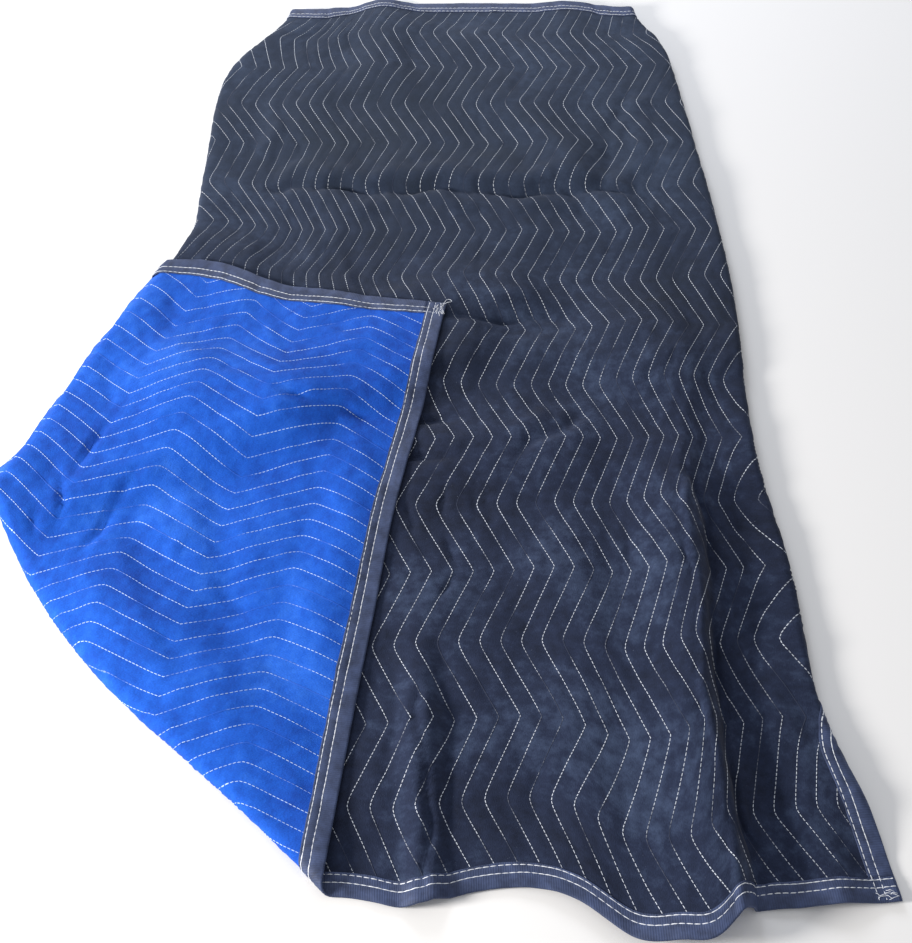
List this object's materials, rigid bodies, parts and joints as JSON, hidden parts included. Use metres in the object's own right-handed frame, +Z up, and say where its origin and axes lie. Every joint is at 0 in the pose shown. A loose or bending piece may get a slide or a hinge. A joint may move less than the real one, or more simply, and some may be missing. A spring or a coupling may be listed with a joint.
{
  "type": "moving blanket",
  "caption": "Quilted moving blanket laid out on the floor, with a corner turned back to show its other side and both long sides tucked under.",
  "frame": {"origin": "on the floor, under the middle of the laid blanket's box", "axes": "+Z up, +Y along the blanket's length from the near hem, which has the turned-back corner, to the far hem; +X to the right"},
  "size_m": [1.3342, 2.1062, 0.0662],
  "materials": {
    "navy_face": "matte brushed non-woven polyester, quilted with white zigzag rows",
    "blue_back": "matte brushed non-woven polyester, quilted with white zigzag rows",
    "binding_tape": "matte woven polypropylene tape"
  },
  "bodies": {
    "root": {"face_panel": "navy_face", "back_panel": "blue_back", "near_hem_binding": "binding_tape", "far_hem_binding": "binding_tape", "left_binding": "binding_tape", "right_binding": "binding_tape"}
  },
  "joints": []
}
